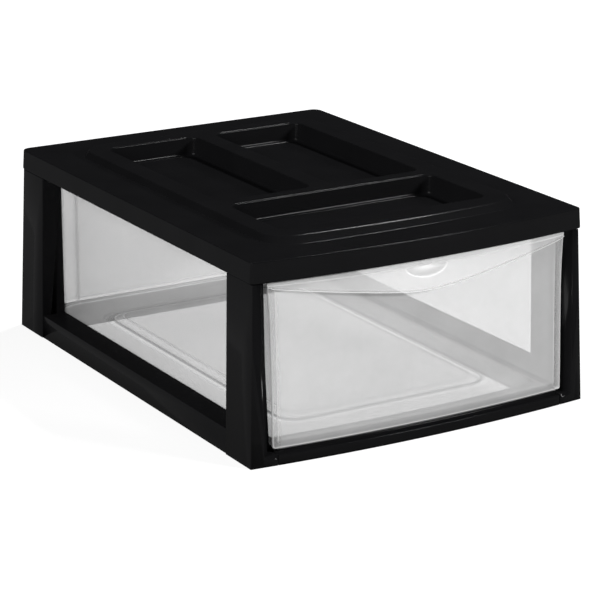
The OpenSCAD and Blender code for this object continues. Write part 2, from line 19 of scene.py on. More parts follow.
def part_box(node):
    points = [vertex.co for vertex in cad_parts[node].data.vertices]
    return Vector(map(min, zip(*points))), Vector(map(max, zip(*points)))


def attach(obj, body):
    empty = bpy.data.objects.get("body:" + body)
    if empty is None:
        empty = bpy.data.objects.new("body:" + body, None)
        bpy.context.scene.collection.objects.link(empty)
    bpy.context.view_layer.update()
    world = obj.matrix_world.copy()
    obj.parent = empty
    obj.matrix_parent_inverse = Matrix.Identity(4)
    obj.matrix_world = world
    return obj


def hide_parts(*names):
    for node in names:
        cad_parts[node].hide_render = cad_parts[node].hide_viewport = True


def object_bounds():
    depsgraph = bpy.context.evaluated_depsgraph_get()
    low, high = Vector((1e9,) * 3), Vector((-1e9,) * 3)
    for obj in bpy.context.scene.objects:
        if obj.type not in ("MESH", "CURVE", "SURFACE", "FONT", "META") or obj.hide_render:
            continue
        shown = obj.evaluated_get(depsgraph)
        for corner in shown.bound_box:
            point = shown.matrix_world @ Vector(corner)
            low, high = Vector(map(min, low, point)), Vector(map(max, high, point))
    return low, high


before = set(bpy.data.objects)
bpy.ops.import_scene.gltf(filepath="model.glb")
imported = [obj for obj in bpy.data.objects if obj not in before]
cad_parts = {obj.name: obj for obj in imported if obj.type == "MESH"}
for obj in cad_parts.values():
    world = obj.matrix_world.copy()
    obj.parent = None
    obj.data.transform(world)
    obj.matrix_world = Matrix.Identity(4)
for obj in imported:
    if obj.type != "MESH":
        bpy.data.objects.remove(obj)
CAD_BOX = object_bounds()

log = logging.getLogger("drawer_box")

Flat = tuple[float, float]
Point = tuple[float, float, float]
Ring = list[bmesh.types.BMVert]
Tree = bpy.types.NodeTree
Socket = bpy.types.NodeSocket

MM = 0.001
WELD = 0.002                     # points closer than this become one
LEAST_RADIUS = 0.1               # rounded corners never get sharper than this
LEAN = math.tan(math.radians(2))  # every outer face leans in by two degrees
# the haze layer's raised values are partly painted highlight along bends, and its lowest values
# paint shade into the light that passes
HAZE = "haze"                    # name of the mesh layer that holds the extra scattering
NOISE_RANGE = {"From Min": 0.3, "From Max": 0.7}  # nearly all noise values lie in it


class Body(Enum):
    """The two bodies of the frame that pieces ride on."""

    FRAME = "frame"
    DRAWER = "drawer"


class Slot(Enum):
    """The material slots of the record."""

    BLACK = "black_frame"
    MILKY = "translucent_drawer"


# ---- plain geometry ------------------------------------------------------------------


def node_box(name: str) -> tuple[Vector, Vector]:
    """Gives the lowest and highest corners of a frame node in millimetres."""
    low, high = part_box(name)
    return Vector(low) / MM, Vector(high) / MM


def arc(centre: Flat, radius: float, start: float, end: float, steps: int) -> list[Flat]:
    """Gives the points of an arc in so many steps, but not its first one. Angles are radians."""
    angles = (start + (end - start) * i / steps for i in range(1, steps + 1))
    return [(centre[0] + radius * math.cos(a), centre[1] + radius * math.sin(a)) for a in angles]


def bend(start: Flat, knee: Flat, end: Flat, steps: int = 6) -> list[Flat]:
    """Gives a smooth curve that leaves start towards the knee and reaches end from it.

    Args:
        start: First point.
        knee: Corner that the curve rounds off.
        end: Last point.
        steps: Number of straight stretches.

    Returns:
        One more point than there are stretches.
    """
    curve = []
    for i in range(steps + 1):
        t = i / steps
        weights = ((1 - t) ** 2, 2 * t * (1 - t), t * t)
        curve.append(tuple(sum(w * p[k] for w, p in zip(weights, (start, knee, end)))
                           for k in (0, 1)))
    return curve


def smooth_step(value: float) -> float:
    """Gives a share from 0 to 1 that starts and ends gently."""
    t = min(1.0, max(0.0, value))
    return t * t * (3 - 2 * t)


def blend_plans(first: Sequence[Flat], second: Sequence[Flat], share: float) -> list[Flat]:
    """Gives the plan that lies a share of the way from the first plan to the second."""
    return [(a[0] + (b[0] - a[0]) * share, a[1] + (b[1] - a[1]) * share)
            for a, b in zip(first, second)]


@dataclass(frozen=True)
class BowedPlan:
    """A plan with a bowed front, straight sides and back, and four round corners."""

    half: float                     # half of the width
    front: float                    # place of the front at the middle
    rear: float                     # place of the back
    radius: float                   # radius of the bow
    corner: float                   # radius of the corners
    rear_corner: float = 0.0        # radius of the two at the back, where it isn't the same
    bow_steps: int = 36             # number of straight stretches of the bow
    corner_steps: int = 8           # the same for each corner

    def outline(self, inset: float = 0.0) -> list[Flat]:
        """Gives the outline, moved inwards evenly.

        Args:
            inset: Distance inwards; below 0 it moves outwards.

        Returns:
            Its points, always as many, from the front left corner on.
        """
        centre = self.front + self.radius
        radius, half, rear = self.radius - inset, self.half - inset, self.rear - inset
        corner = max(self.corner - inset, LEAST_RADIUS)
        rear_corner = max((self.rear_corner or self.corner) - inset, LEAST_RADIUS)
        reach, rear_reach = half - corner, half - rear_corner
        corner_y = centre - math.sqrt((radius - corner) ** 2 - reach ** 2)
        turn = math.asin(reach / (radius - corner))
        down, steps = -math.pi / 2, self.corner_steps
        return [*arc((0, centre), radius, down - turn, down + turn, self.bow_steps),
                *arc((reach, corner_y), corner, down + turn, 0, steps),
                *arc((rear_reach, rear - rear_corner), rear_corner, 0, math.pi / 2, steps),
                *arc((-rear_reach, rear - rear_corner), rear_corner, math.pi / 2, math.pi, steps),
                *arc((-reach, corner_y), corner, math.pi, 1.5 * math.pi - turn, steps)]


@dataclass(frozen=True)
class RoundedBox:
    """A rectangle in plan, from its low to its high corner, with round corners."""

    low: Flat
    high: Flat
    corner: float                   # radius of its corners
    least: float = 0.5              # the smallest that it gets when the outline moves inwards
    steps: int = 8                  # number of straight stretches of each corner

    def outline(self, inset: float = 0.0) -> list[Flat]:
        """Gives the outline, moved inwards by inset.

        Args:
            inset: Distance inwards; below 0 it moves outwards.

        Returns:
            Its points, always as many, from the front right corner on.
        """
        radius = max(self.corner - inset / 2, self.least)
        x0, y0 = self.low[0] + inset + radius, self.low[1] + inset + radius
        x1, y1 = self.high[0] - inset - radius, self.high[1] - inset - radius
        quarter = math.pi / 2
        corners = ((x1, y0), (x1, y1), (x0, y1), (x0, y0))
        points: list[Flat] = []
        for turn, centre in enumerate(corners):
            start = (turn - 1) * quarter
            points += arc(centre, radius, start, start, 1)
            points += arc(centre, radius, start, start + quarter, self.steps)
        return points


class Skin:
    """Collects rings of points and joins them into one closed mesh."""

    def __init__(self) -> None:
        """Starts an empty mesh."""
        self.mesh = bmesh.new()
        self.haze = self.mesh.verts.layers.float.new(HAZE)

    def ring(self, points: Iterable[Point], haze: float | Sequence[float] = 0.0) -> Ring:
        """Adds a ring of points.

        Args:
            points: The points, in millimetres.
            haze: How much more the plastic scatters there, for the ring or for each point; raised
                values are partly painted highlight, and the lowest ones paint shade.

        Returns:
            The new ring.
        """
        made = [self.mesh.verts.new([value * MM for value in point]) for point in points]
        shares = [haze] * len(made) if isinstance(haze, (int, float)) else haze
        for vert, share in zip(made, shares):
            vert[self.haze] = share
        return made

    def level(self, plan: Iterable[Flat], z: float, haze: float = 0.0) -> Ring:
        """Adds a flat ring at the height z."""
        return self.ring(((x, y, z) for x, y in plan), haze)

    def bridge(self, first: Ring, second: Ring) -> None:
        """Joins two rings of as many points with a band of faces."""
        for i in range(len(first)):
            self.mesh.faces.new((first[i - 1], first[i], second[i], second[i - 1]))

    def loft(self, rings: Sequence[Ring]) -> None:
        """Joins each ring to the next one."""
        for first, second in zip(rings, rings[1:]):
            self.bridge(first, second)

    def fill(self, edge: Ring, holes: Sequence[Ring] = ()) -> None:
        """Closes a flat ring, round any holes in it.

        Args:
            edge: The outer ring.
            holes: Rings inside it that stay open.
        """
        loops = [edge, *holes]
        points = [vert for loop in loops for vert in loop]
        for corners in tessellate_polygon([[vert.co for vert in loop] for loop in loops]):
            self.mesh.faces.new([points[i] for i in corners])

    def block(self, low: Point, high: Point) -> None:
        """Adds a closed block between two corners."""
        plan = [(low[0], low[1]), (high[0], low[1]), (high[0], high[1]), (low[0], high[1])]
        rings = [self.level(plan, low[2]), self.level(plan, high[2])]
        self.loft(rings)
        self.fill(rings[0])
        self.fill(rings[1])

    def piece(self, name: str) -> bpy.types.Object:
        """Turns what was collected into an object with smooth, well-weighted normals.

        Args:
            name: Name of the piece.

        Returns:
            The new object.
        """
        bmesh.ops.remove_doubles(self.mesh, verts=self.mesh.verts, dist=WELD * MM)
        bmesh.ops.recalc_face_normals(self.mesh, faces=self.mesh.faces)
        made = as_object(name, self.mesh)
        normals = made.modifiers.new("even_shading", "WEIGHTED_NORMAL")
        normals.mode = "FACE_AREA"
        return made


def put_in_scene(name: str, data: bpy.types.ID) -> bpy.types.Object:
    """Adds an object with this data to the scene, and gives it."""
    made = bpy.data.objects.new(name, data)
    bpy.context.scene.collection.objects.link(made)
    return made


def as_object(name: str, mesh: bmesh.types.BMesh) -> bpy.types.Object:
    """Writes a mesh to a new, smooth-shaded object in the scene.

    Args:
        name: Name of the piece.
        mesh: The mesh, which is freed.

    Returns:
        The new object.
    """
    for face in mesh.faces:
        face.smooth = True
        face.material_index = 0
    data = bpy.data.meshes.new(name)
    mesh.to_mesh(data)
    mesh.free()
    return put_in_scene(name, data)


# ---- finishes ------------------------------------------------------------------------


def linear(colour: str) -> tuple[float, float, float, float]:
    """Turns an sRGB hex colour into the linear one that the shaders use."""
    parts = [int(colour[i:i + 2], 16) / 255 for i in (1, 3, 5)]
    red, green, blue = (c / 12.92 if c <= 0.04045 else ((c + 0.055) / 1.055) ** 2.4 for c in parts)
    return (red, green, blue, 1.0)


def add_node(tree: Tree, kind: str, inputs: dict[Any, Any] | None = None,
             **settings: Any) -> bpy.types.Node:
    """Adds a shader node with its settings, values and links.

    Args:
        tree: The node tree.
        kind: Blender's name for the node.
        inputs: For each input, a value or the output that feeds it.
        settings: Properties of the node itself.

    Returns:
        The new node.
    """
    node = tree.nodes.new(kind)
    for name, value in settings.items():
        setattr(node, name, value)
    for key, value in (inputs or {}).items():
        if isinstance(value, Socket):
            tree.links.new(value, node.inputs[key])
        else:
            node.inputs[key].default_value = value
    return node


def new_material(name: str) -> tuple[bpy.types.Material, Tree, Socket]:
    """Starts a material; gives it, its node tree and the place on the object."""
    made = bpy.data.materials.new(name)
    made.use_nodes = True
    tree = made.node_tree
    tree.nodes.clear()
    return made, tree, add_node(tree, "ShaderNodeTexCoord").outputs["Object"]


def noise_at(tree: Tree, place: Socket, size: float, detail: float) -> Socket:
    """Adds noise whose blotches are about size millimetres across, and gives its value."""
    return add_node(tree, "ShaderNodeTexNoise",
                    {"Vector": place, "Scale": 1 / (size * MM), "Detail": detail}).outputs["Fac"]


def spread_round(tree: Tree, noise: Socket, middle: float, spread: float) -> Socket:
    """Turns noise into values that lie up to spread from the middle."""
    return add_node(tree, "ShaderNodeMapRange", {
        "Value": noise, **NOISE_RANGE, "To Min": middle - spread,
        "To Max": middle + spread}).outputs["Result"]


def relief_of(tree: Tree, height: Socket, strength: float, distance: float) -> Socket:
    """Gives the normal of a relief that is distance millimetres high."""
    return add_node(tree, "ShaderNodeBump", {
        "Height": height, "Strength": strength, "Distance": distance * MM}).outputs["Normal"]


def mix_colours(tree: Tree, share: Socket, first: str, second: str) -> Socket:
    """Mixes two sRGB hex colours by a share from 0 to 1."""
    return add_node(tree, "ShaderNodeMix", {"Factor": share, "A": linear(first),
                                            "B": linear(second)},
                    data_type="RGBA").outputs["Result"]


@dataclass(frozen=True)
class MouldedPolypropylene:
    """Black polypropylene, injection moulded in a finely spark-eroded mould.

    To the eye it is a deep black with a thin satin skin: the dyed body swallows the light,
    and only the skin shines, along the edges. A fine grain breaks up that shine, and the
    black changes slowly where the melt cooled at different rates.
    """

    name: str = "moulded polypropylene, black"
    colour: str = "#0e0e0f"
    cool_colour: str = "#131314"
    roughness: float = 0.40
    roughness_spread: float = 0.05
    specular: float = 0.0           # the dyed body does not shine by itself
    skin: float = 0.06              # strength of the satin skin
    skin_roughness: float = 0.14
    ior: float = 1.49
    grain: float = 1.6              # the real grain is 0.1 mm, drawn as coarse as it shows
    cloud: float = 38.0             # width of the slow changes of gloss
    cloud_detail: float = 3.0
    grain_detail: float = 1.0
    relief: float = 0.05            # height of the grain in millimetres
    relief_strength: float = 0.35

    def material(self) -> bpy.types.Material:
        """Builds the material and gives it."""
        made, tree, place = new_material(self.name)
        cloud = noise_at(tree, place, self.cloud, self.cloud_detail)
        grain = noise_at(tree, place, self.grain, self.grain_detail)
        colour = mix_colours(tree, cloud, self.colour, self.cool_colour)
        gloss = spread_round(tree, cloud, self.roughness, self.roughness_spread)
        relief = relief_of(tree, grain, self.relief_strength, self.relief)
        shader = add_node(tree, "ShaderNodeBsdfPrincipled", {
            "Base Color": colour, "Roughness": gloss, "Normal": relief, "IOR": self.ior,
            "Specular IOR Level": self.specular, "Coat Weight": self.skin,
            "Coat Roughness": self.skin_roughness, "Coat IOR": self.ior, "Coat Normal": relief})
        add_node(tree, "ShaderNodeOutputMaterial", {"Surface": shader.outputs["BSDF"]})
        return made


@dataclass(frozen=True)
class TranslucentPolypropylene:
    """Natural polypropylene, injection moulded thin in a polished mould.

    Straight light passes with a slight loss at each face, and the crystals in it scatter the
    rest, so that dark things behind it look milky and the edges look frosted. Raised haze along
    bends adds to that scattering and is partly painted highlight. The lowest haze paints shade
    into the light that passes, where real bends turn light aside.
    """

    name: str = "moulded polypropylene, translucent"
    milk: str = "#f3f3f3"
    clear: str = "#f8f8f8"
    body: float = 0.28              # share of light that each face scatters
    body_spread: float = 0.015
    edge_body: float = 0.5          # what a haze of 1 adds to that share
    # painted shade: the light passed at sharp bends is darkened with this colour, where the real
    # plastic turns light aside
    painted_bend_shade: str = "#5c5e60"     # a sharp bend turns light aside and looks dark
    shade_from: float = -0.5        # haze at which that begins
    shade_full: float = -1.0        # haze at which it is complete
    roughness: float = 0.28
    ior: float = 1.49
    cloud: float = 30.0             # width of the clouds of the cooled melt
    cloud_detail: float = 3.0
    ripple: float = 24.0            # width of the gentle waviness of the thin walls
    ripple_detail: float = 1.0
    relief: float = 0.05            # height of that waviness in millimetres
    relief_strength: float = 0.3

    def material(self) -> bpy.types.Material:
        """Builds the material and gives it."""
        made, tree, place = new_material(self.name)
        cloud = noise_at(tree, place, self.cloud, self.cloud_detail)
        ripple = noise_at(tree, place, self.ripple, self.ripple_detail)
        share = spread_round(tree, cloud, self.body, self.body_spread)
        haze = add_node(tree, "ShaderNodeAttribute", attribute_name=HAZE).outputs["Fac"]
        share = add_node(tree, "ShaderNodeMath", {0: haze, 1: self.edge_body, 2: share},
                         operation="MULTIPLY_ADD", use_clamp=True).outputs["Value"]
        waves = relief_of(tree, ripple, self.relief_strength, self.relief)
        milky = add_node(tree, "ShaderNodeBsdfPrincipled", {
            "Base Color": linear(self.milk), "Roughness": self.roughness, "Normal": waves,
            "IOR": self.ior})
        # painted shade: where the haze is lowest, the light that passes is darkened towards the
        # bend colour
        painted_shade_share = add_node(tree, "ShaderNodeMapRange", {
            "Value": haze, "From Min": self.shade_from,
            "From Max": self.shade_full}).outputs["Result"]
        passed = mix_colours(tree, painted_shade_share, self.clear, self.painted_bend_shade)
        clear = add_node(tree, "ShaderNodeBsdfTransparent", {"Color": passed})
        both = add_node(tree, "ShaderNodeMixShader",
                        {0: share, 1: clear.outputs["BSDF"], 2: milky.outputs["BSDF"]})
        add_node(tree, "ShaderNodeOutputMaterial", {"Surface": both.outputs["Shader"]})
        return made


@dataclass(frozen=True)
class PaleFloor:
    """Matt white paper, rolled out flat, which looks plain white and keeps soft shadows."""

    name: str = "white paper"
    colour: str = "#8b8b8b"
    near: float = 0.82              # own brightness of the paper close to the box
    inner: float = 0.45             # metres from the box where the paper starts to brighten
    outer: float = 1.5              # metres from the box where it is fully bright

    def material(self) -> bpy.types.Material:
        """Builds the material and gives it."""
        made, tree, place = new_material(self.name)
        reach = add_node(tree, "ShaderNodeVectorMath", {0: place}, operation="LENGTH")
        glow = add_node(tree, "ShaderNodeMapRange", {
            "Value": reach.outputs["Value"], "From Min": self.inner, "From Max": self.outer,
            "To Min": self.near, "To Max": 1.0}, interpolation_type="SMOOTHSTEP").outputs["Result"]
        path = add_node(tree, "ShaderNodeLightPath")
        seen = path.outputs["Is Camera Ray"]
        for ray in ("Is Glossy Ray", "Is Transmission Ray"):
            seen = add_node(tree, "ShaderNodeMath", {0: seen, 1: path.outputs[ray]},
                            operation="MAXIMUM").outputs["Value"]
        strength = add_node(tree, "ShaderNodeMath", {0: glow, 1: seen},
                            operation="MULTIPLY").outputs["Value"]
        paper = add_node(tree, "ShaderNodeBsdfDiffuse", {"Color": linear(self.colour)})
        light = add_node(tree, "ShaderNodeEmission", {"Strength": strength})
        both = add_node(tree, "ShaderNodeAddShader",
                        {0: paper.outputs["BSDF"], 1: light.outputs["Emission"]})
        add_node(tree, "ShaderNodeOutputMaterial", {"Surface": both.outputs["Shader"]})
        return made


def dress(piece: bpy.types.Object, material: bpy.types.Material, body: Body, slot: Slot,
          *nodes: str) -> None:
    """Gives a piece its material and its place on a body.

    Args:
        piece: The piece.
        material: Its finish.
        body: The body that it rides on.
        slot: The record's material slot; not used.
        nodes: Frame nodes that it stands for.
    """
    piece.data.materials.clear()
    piece.data.materials.append(material)
    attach(piece, body.value)
    if nodes:
        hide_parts(*nodes)
    log.info("%s: %d faces", piece.name, len(piece.data.polygons))


# ---- frame members -------------------------------------------------------------------


@dataclass
class FrameMember:
    """A post, rail or bar: the frame's own shape with the edges that a mould gives it."""

    node: str                       # name of the frame node
    edge: float = 0.7               # radius of its edges
    corner: float = 2.4             # radius of the tall corner that looks outwards
    shortest: float = 5.0           # shorter edges stay sharp
    bluntest: float = math.radians(30)   # so do those whose faces turn by less than this
    flat: float = math.radians(0.1)      # faces that turn by less than this are joined
    upright: float = 0.95           # share of its length that an upright edge rises
    side_reach: float = 8.0         # how far in from the side the tall corner may lie
    end_reach: float = 18.0         # the same from the front and the back
    segments: int = 4               # number of strips that round off an edge

    def is_corner(self, edge: bmesh.types.BMEdge) -> bool:
        """Tells whether an edge is the upright one at the outer corner of the box."""
        low, high = CAD_BOX
        ends = [vert.co for vert in edge.verts]
        upright = abs(ends[0].z - ends[1].z) > self.upright * edge.calc_length()
        middle = (ends[0] + ends[1]) / 2
        outside = high.x - abs(middle.x) < self.side_reach * MM
        near_end = min(middle.y - low.y, high.y - middle.y) < self.end_reach * MM
        return upright and outside and near_end

    def weigh(self, mesh: bmesh.types.BMesh) -> None:
        """Marks how far each long convex edge is rounded."""
        layer = mesh.edges.layers.float.new("bevel_weight_edge")
        for edge in mesh.edges:
            on_floor = max(vert.co.z for vert in edge.verts) < WELD
            if on_floor or not edge.is_convex or edge.calc_face_angle(0) < self.bluntest:
                continue
            if edge.calc_length() > self.shortest * MM:
                edge[layer] = 1.0 if self.is_corner(edge) else self.edge / self.corner

    def build(self, material: bpy.types.Material) -> None:
        """Builds and dresses the member.

        Args:
            material: Its finish.
        """
        mesh = bmesh.new()
        mesh.from_mesh(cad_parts[self.node].data)
        bmesh.ops.remove_doubles(mesh, verts=mesh.verts, dist=WELD * MM)
        bmesh.ops.dissolve_limit(mesh, angle_limit=self.flat, verts=mesh.verts,
                                 edges=mesh.edges)
        self.weigh(mesh)
        made = as_object(f"{self.node}_moulded", mesh)
        rounding = made.modifiers.new("moulded_edges", "BEVEL")
        rounding.limit_method = "WEIGHT"
        rounding.width = self.corner * MM
        rounding.segments = self.segments
        rounding.harden_normals = True
        rounding.use_clamp_overlap = True
        dress(made, material, Body.FRAME, Slot.BLACK, self.node)


# ---- lid -----------------------------------------------------------------------------


@dataclass
class Tray:
    """A pen tray sunk into the plateau of the lid."""

    box: RoundedBox                 # its opening
    top: float                      # height of the plateau
    depth: float = 16.0
    draft: float = 2.0              # how far its walls slope inwards
    rim: float = 1.5                # radius of the rim
    foot: float = 3.0               # radius along the foot of the walls
    wall: float = 2.4
    rim_slope: float = 0.1          # how far a wall slopes within the rounding of its rim
    foot_slope: float = 0.3         # the same at its foot
    outer_slope: float = 0.2        # the same at its foot on the outside

    @property
    def floor(self) -> float:
        """Height of the floor of the tray."""
        return self.top - self.depth

    def inside(self, skin: Skin) -> Ring:
        """Builds the inside of the tray and gives the ring of its rim."""
        low, top, rim = self.floor, self.top, self.rim
        profile = [*bend((-rim, top), (0, top), (self.rim_slope, top - rim)),
                   *bend((self.draft - self.foot_slope, low + self.foot), (self.draft, low),
                         (self.draft + self.foot, low))]
        rings = [skin.level(self.box.outline(inset), z) for inset, z in profile]
        skin.loft(rings)
        skin.fill(rings[-1])
        return rings[0]

    def outside(self, skin: Skin, under: float) -> Ring:
        """Builds the outside of the tray below the lid and gives its upper ring."""
        low, knee = self.floor - self.wall, self.draft - self.wall
        profile = [(-self.wall, under),
                   *bend((knee - self.outer_slope, low + self.foot), (knee, low),
                         (knee + self.foot, low))]
        rings = [skin.level(self.box.outline(inset), z) for inset, z in profile]
        skin.loft(rings)
        skin.fill(rings[-1])
        return rings[0]


@dataclass
class Lid:
    """The lid: a skirt, a flat border, a raised plateau and three pen trays."""

    wall: float = 2.4
    skirt_height: float = 16.0
    flare: float = 1.0              # how far the skirt widens towards its lower edge
    bow: float = 9.6
    corner: float = 3.0
    rear_corner: float = 8.0
    edge: float = 0.9               # radius along the edge of the border
    lower_edge: float = 1.2         # radius along the outer lower edge of the skirt
    inner_edge: float = 0.3         # radius along its inner lower edge
    inner_round: float = 1.0        # radius where the skirt meets the border inside
    plateau_height: float = 5.0
    border_side: float = 31.8
    border_front: float = 29.8
    border_rear: float = 35.3
    plateau_corner: float = 27.0
    slope: float = 3.5              # inward slope of the sides of the plateau
    front_slope: float = 7.0
    margin_side: float = 17.5
    margin_rear: float = 15.0
    margin_front: float = 21.0
    bridge: float = 17.0            # width between the two rear trays
    cross_bridge: float = 13.5      # width between the rear trays and the front tray
    front_tray_depth: float = 80.0
    tray_corner: float = 9.0
    stop_side: float = 60.0         # distance of a drawer stop from the middle
    stop_back: float = 35.5         # how far behind the front edge of the tray it ends
    stop_half: float = 10.0         # half of its width
    stop_thick: float = 3.0
    stop_drop: float = 8.5          # how far below the floor of the tray it reaches
    stop_gap: float = 1.2           # how far below that floor it starts
    low: Vector = field(init=False)
    high: Vector = field(init=False)

    def __post_init__(self) -> None:
        """Takes the outer size of the lid from the frame."""
        self.low, self.high = node_box("lid")

    @property
    def deck(self) -> float:
        """Height of the flat border."""
        return self.high.z - self.plateau_height

    @property
    def skirt(self) -> BowedPlan:
        """Plan of the skirt at the height of the border."""
        half = self.high.x - self.flare
        radius = (half ** 2 + self.bow ** 2) / (2 * self.bow)
        return BowedPlan(half, self.low.y + self.flare, self.high.y - self.flare, radius,
                         self.corner, self.rear_corner)

    @property
    def plateau_foot(self) -> BowedPlan:
        """Plan of the foot of the plateau."""
        skirt = self.skirt
        return BowedPlan(skirt.half - self.border_side, skirt.front + self.border_front,
                         skirt.rear - self.border_rear, skirt.radius, self.plateau_corner)

    @property
    def plateau_top(self) -> BowedPlan:
        """Plan of the upper edge of the plateau."""
        foot = self.plateau_foot
        return BowedPlan(foot.half - self.slope, foot.front + self.front_slope,
                         foot.rear - self.slope, foot.radius, foot.corner - self.slope)

    def trays(self) -> list[Tray]:
        """Places the three trays on the plateau."""
        top = self.plateau_top
        half = top.half - self.margin_side
        front = top.front + self.margin_front
        middle = front + self.front_tray_depth + self.cross_bridge
        rear = top.rear - self.margin_rear
        spans = [((-half, middle), (-self.bridge / 2, rear)),
                 ((self.bridge / 2, middle), (half, rear)),
                 ((-half, front), (half, front + self.front_tray_depth))]
        return [Tray(RoundedBox(low, high, self.tray_corner), self.high.z) for low, high in spans]

    def plateau_rings(self, skin: Skin) -> list[Ring]:
        """Builds the slope of the plateau from its upper edge down to the border."""
        foot, top = self.plateau_foot.outline(), self.plateau_top.outline()
        over, shoulder, toe = 0.14, 0.2, 0.05    # shares of the slope that the roundings take
        profile = [*bend((1 + over, 1), (1, 1), (1 - shoulder, 1 - shoulder)),
                   *bend((toe, toe), (0, 0), (-toe, 0), 2)]
        return [skin.level(blend_plans(foot, top, share), self.deck + rise * self.plateau_height)
                for share, rise in profile]

    def skirt_rings(self, skin: Skin) -> list[Ring]:
        """Builds the border's edge, the flared skirt and its inner side."""
        deck, out, under = self.deck, self.flare, self.deck - self.wall
        low = deck - self.skirt_height
        taper, wall = out * self.edge / self.skirt_height, self.wall
        inner, fillet = self.inner_edge, self.inner_round
        profile = [*bend((self.edge, deck), (0.0, deck), (-taper, deck - self.edge), 8),
                   *bend((-out, low + self.lower_edge), (-out, low), (self.lower_edge - out, low)),
                   *bend((wall - inner, low), (wall, low), (wall, low + inner), 2),
                   *bend((wall, under - fillet), (wall, under), (wall + fillet, under), 4)]
        return [skin.level(self.skirt.outline(inset), z) for inset, z in profile]

    def underside(self, skin: Skin, edge: Ring, trays: Sequence[Tray]) -> None:
        """Builds the recess under the plateau and the outside of the trays."""
        under, inner = self.deck - self.wall, self.slope + self.wall
        foot, roof = self.plateau_foot, self.high.z - self.wall
        recess = BowedPlan(foot.half - inner, foot.front + inner + self.front_slope,
                           foot.rear - inner, foot.radius, foot.corner - inner)
        rings = [skin.level(recess.outline(), z) for z in (under, roof)]
        skin.bridge(edge, rings[0])
        skin.loft(rings)
        skin.fill(rings[1], [tray.outside(skin, roof) for tray in trays])

    def stops(self, skin: Skin, floor: float) -> None:
        """Adds the two stops that hold the open drawer, below the floor of the front tray."""
        rear = self.plateau_top.front + self.margin_front + self.stop_back
        for middle in (-self.stop_side, self.stop_side):
            skin.block((middle - self.stop_half, rear - self.stop_thick, floor - self.stop_drop),
                       (middle + self.stop_half, rear, floor - self.stop_gap))

    def build(self, material: bpy.types.Material) -> None:
        """Builds and dresses the lid.

        Args:
            material: Its finish.
        """
        skin, trays = Skin(), self.trays()
        plateau, skirt = self.plateau_rings(skin), self.skirt_rings(skin)
        skin.loft(plateau + skirt)
        skin.fill(plateau[0], [tray.inside(skin) for tray in trays])
        self.underside(skin, skirt[-1], trays)
        self.stops(skin, trays[0].floor)
        dress(skin.piece("lid_moulded"), material, Body.FRAME, Slot.BLACK, "lid")


# ---- drawer --------------------------------------------------------------------------


@dataclass(frozen=True)
class BowedFront:
    """The outer face of the drawer's front, which is bowed and leans back with the box."""

    apex: float = -197.8            # place of its middle, carried down to the floor
    radius: float = 1330.7          # radius of the bow
    top: float = 136.0              # height of its upper edge
    side: float = 125.0             # distance of the drawer's side walls from the middle

    def place(self, x: float, z: float, inset: float = 0.0) -> float:
        """Gives the Y of the front at x and z, where inset is the distance behind its face."""
        centre = self.apex + LEAN * z + self.radius
        return centre - math.sqrt((self.radius - inset) ** 2 - x * x)


@dataclass(frozen=True)
class FloorPanel:
    """The raised panel in the floor of the drawer, which stiffens it."""

    plan: RoundedBox = RoundedBox((-89.0, -146.0), (89.0, 147.0), 15.0)
    rise: float = 2.4
    slope: float = 6.0              # width of its sloping border
    surround: float = 9.0           # how far its haze reaches into the floor round it
    foot_round: float = 1.2         # reach of the rounding at its foot
    top_round: float = 1.5          # reach of the rounding at its upper edge
    # the haze of its rings, from the floor over the foot and up to its top; its -0.9 and -1.0 paint
    # shade lines at the foot and the top edge, and its high values draw lighter lines along the
    # bends, partly the milkier plastic there and partly painted highlight
    haze: tuple[float, ...] = (0.0, -0.9, 0.9, 0.6, 0.0, 0.0, 0.0, 0.2, 1.0, -1.0, 0.0)

    def rings(self, skin: Skin, foot: float, inset: float) -> list[Ring]:
        """Builds one face of the panel, from the floor round it up to its closed top.

        Args:
            skin: The skin that it is part of.
            foot: Height of the floor round it.
            inset: How much smaller than the plan this face is.

        Returns:
            Its rings, the outermost one first.
        """
        rise, slope, low, high = self.rise, self.slope, self.foot_round, self.top_round
        early, late = 0.2 * rise, 0.75 * rise
        profile = [(-self.surround, 0), *bend((-low, 0), (0, 0), (low, early), 4),
                   *bend((slope - high, late), (slope, rise), (slope + high, rise), 4)]
        rings = [skin.level(self.plan.outline(share + inset), foot + z, haze)
                 for (share, z), haze in zip(profile, self.haze)]
        skin.loft(rings)
        skin.fill(rings[-1])
        return rings


class Level(NamedTuple):
    """A level ring of the tub: how far in, how high, how far it laps out and how hazy it is."""

    inset: float
    z: float
    lap: float
    haze: float


